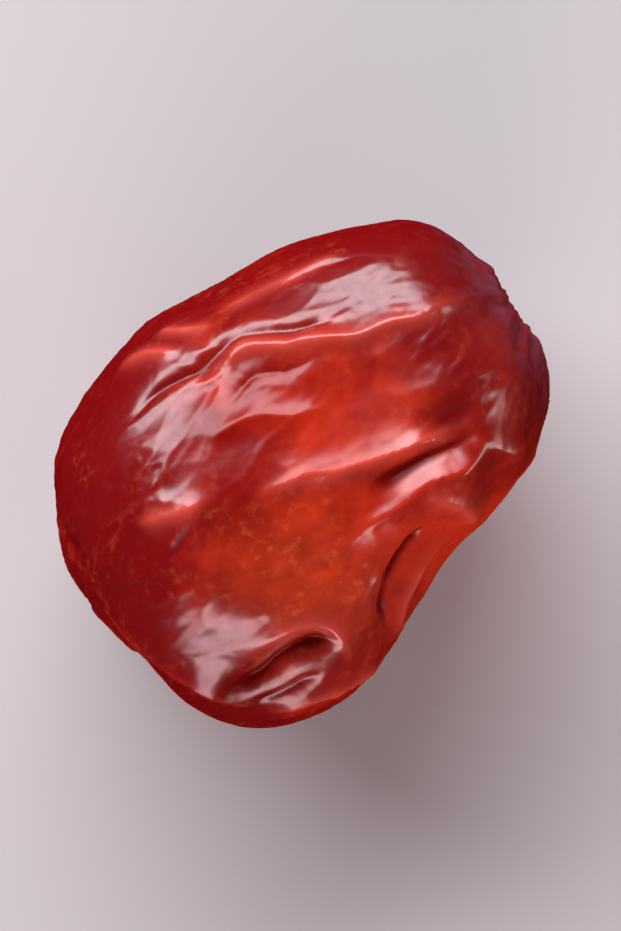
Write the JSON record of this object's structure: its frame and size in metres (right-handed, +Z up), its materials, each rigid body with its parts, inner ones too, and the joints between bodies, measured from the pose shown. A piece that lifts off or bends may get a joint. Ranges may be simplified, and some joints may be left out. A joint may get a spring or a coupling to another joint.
{
  "type": "dried jujube",
  "caption": "Whole dried jujube lying on its side, with long folds, a pitted stem end, a dimpled blossom end and a small flat spot to rest on.",
  "frame": {"origin": "on the surface it rests on, under the middle of the fruit", "axes": "+X along the fruit's long axis towards the stem end, +Y towards its fuller shoulder, +Z up"},
  "size_m": [0.036, 0.029, 0.026],
  "materials": {
    "skin": "deep red dried fruit skin, semi-gloss, wrinkled"
  },
  "bodies": {
    "root": {"jujube": "skin"}
  },
  "joints": []
}
